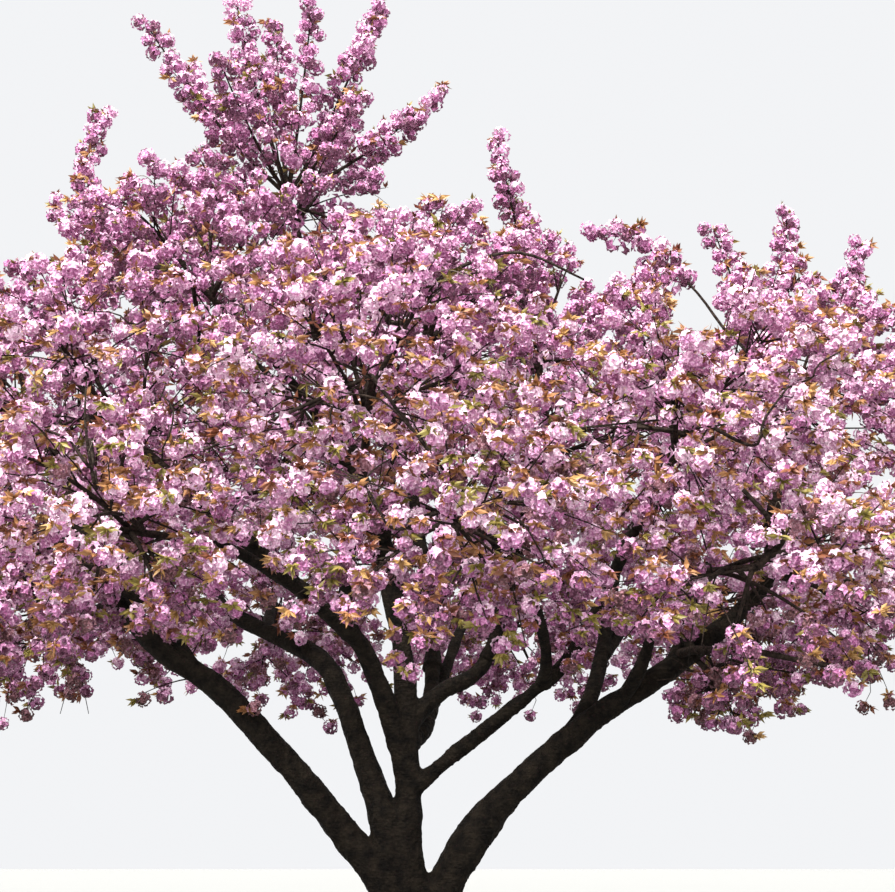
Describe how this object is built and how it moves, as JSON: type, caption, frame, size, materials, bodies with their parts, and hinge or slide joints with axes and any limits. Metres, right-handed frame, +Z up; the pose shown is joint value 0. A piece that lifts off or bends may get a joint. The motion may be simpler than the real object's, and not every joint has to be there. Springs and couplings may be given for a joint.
{
  "type": "flowering cherry tree",
  "caption": "Broad flowering cherry tree rooted in the ground, with stems rising from a short trunk, arching boughs, rounded masses of double pink blossom and upright shoots at the top.",
  "frame": {"origin": "middle of the flat cut under the trunk, at ground level", "axes": "+Z straight up, +X to the right of someone facing the side the picture shows, +Y away from them"},
  "size_m": [6.7927, 6.1616, 5.9101],
  "materials": {
    "bark": "dark brown-black bark with fine cross marks and shallow furrows low on the stems",
    "blossom": "soft matt double pink blossom in round clusters",
    "leaf": "thin satin young leaves, bronze to olive"
  },
  "bodies": {
    "root": {"trunk": "bark", "leader": "bark", "mid_left_stem": "bark", "left_stem": "bark", "right_stem": "bark", "front_stem": "bark", "right_front_limb": "bark", "right_centre_limb": "bark", "rear_stem": "bark", "heart_left_bough": "bark", "upper_rear_left_bough": "bark", "upper_front_bough": "bark", "upper_left_bough": "bark", "front_bough": "bark", "low_front_left_bough": "bark", "low_rear_left_bough": "bark", "low_left_front_bough": "bark", "low_left_rear_bough": "bark", "low_front_right_bough": "bark", "heart_right_bough": "bark", "rear_bough": "bark", "low_rear_right_bough": "bark", "right_rear_bough": "bark", "low_right_front_bough": "bark", "low_right_bough": "bark", "low_right_rear_bough": "bark", "hanging_right_bough": "bark", "crown_top": "blossom", "left_rear": "blossom", "left": "blossom", "right": "blossom", "left_front": "blossom", "right_front": "blossom", "upper_right": "blossom", "upper_rear": "blossom", "heart_left": "blossom", "upper_rear_left": "blossom", "upper_front": "blossom", "upper_left": "blossom", "front": "blossom", "low_front_left": "blossom", "low_rear_left": "blossom", "low_left_front": "blossom", "low_left_rear": "blossom", "low_front_right": "blossom", "heart_right": "blossom", "rear": "blossom", "low_rear_right": "blossom", "right_rear": "blossom", "low_right_front": "blossom", "low_right": "blossom", "low_right_rear": "blossom", "hanging_right": "blossom"}
  },
  "joints": []
}
